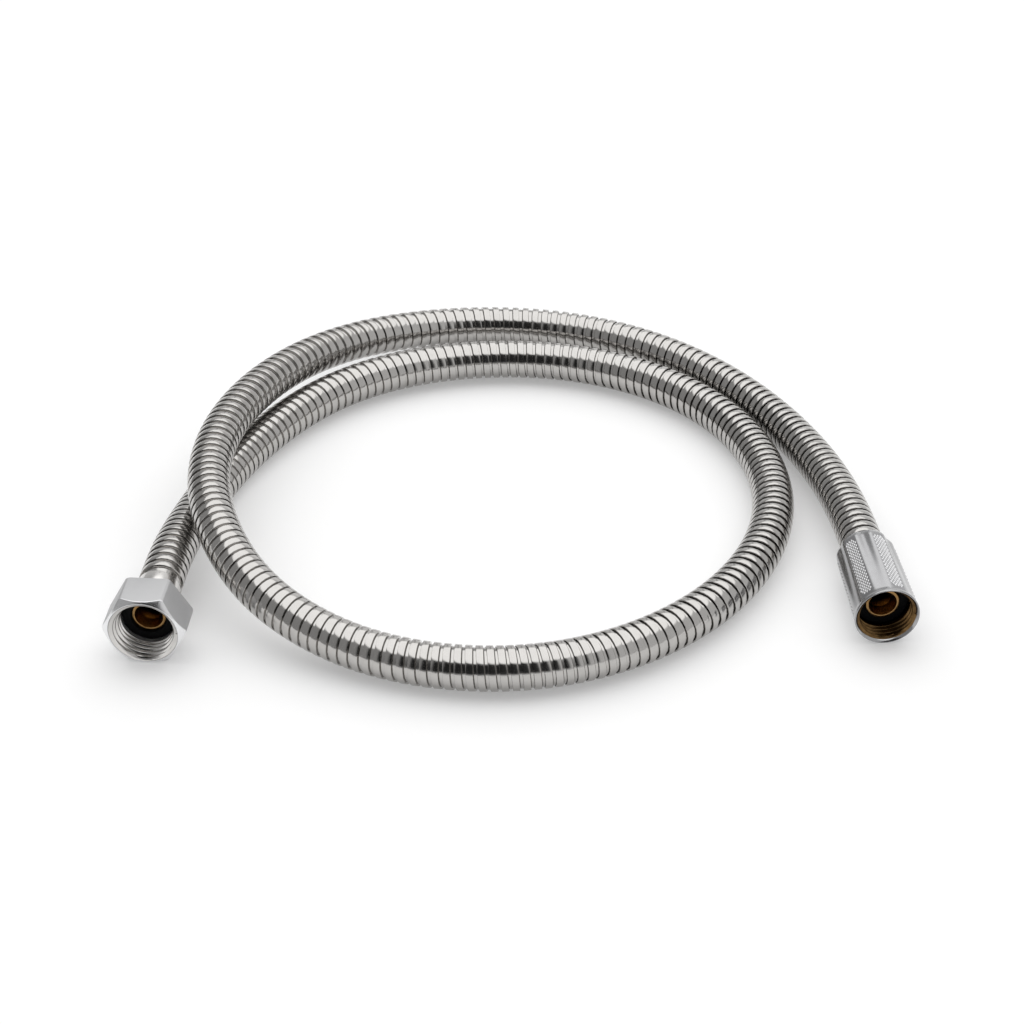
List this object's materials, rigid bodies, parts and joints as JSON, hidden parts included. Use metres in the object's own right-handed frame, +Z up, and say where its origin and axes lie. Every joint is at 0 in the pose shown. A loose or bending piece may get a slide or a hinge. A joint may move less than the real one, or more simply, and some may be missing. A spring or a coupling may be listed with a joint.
{
  "type": "shower hose",
  "caption": "Flexible shower hose of wound stainless strip in a loose loop, with a hexagon swivel nut at one end and a knurled sleeve swivel nut at the other.",
  "frame": {"origin": "on the floor under the middle of the whole coiled hose's bounding box", "axes": "+Z up from the floor; +Y away from the viewer, towards the closed back of the loop; +X from the hexagon nut's end towards the sleeve nut's end. Both nuts' mouths face -Y, turned outwards by 4 and 3.5 degrees"},
  "size_m": [0.2847, 0.2561, 0.0335],
  "materials": {
    "stainless_strip": "polished strip",
    "liner_rubber": "matte",
    "brass": "machined",
    "satin_chrome": "satin plate on brass",
    "bright_chrome": "bright plate on brass",
    "black_rubber": "matte"
  },
  "bodies": {
    "hose": {"casing": "stainless_strip", "liner": "liner_rubber", "tail_hex": "brass", "tail_sleeve": "brass", "ferrule_hex": "stainless_strip", "ferrule_sleeve": "stainless_strip", "washer_hex": "black_rubber", "washer_sleeve": "black_rubber"},
    "hex_nut": {"hex_nut": "satin_chrome"},
    "sleeve_nut": {"sleeve_nut": "bright_chrome"}
  },
  "joints": [
    {"name": "hex_nut_swivel", "type": "hinge", "parent": "hose", "child": "hex_nut", "pos_m": [-0.1277, -0.1075, 0.013], "axis": [-0.0698, -0.9976, 0], "continuous": true},
    {"name": "sleeve_nut_swivel", "type": "hinge", "parent": "hose", "child": "sleeve_nut", "pos_m": [0.131, -0.0963, 0.0115], "axis": [0.061, -0.9981, 0], "continuous": true}
  ]
}
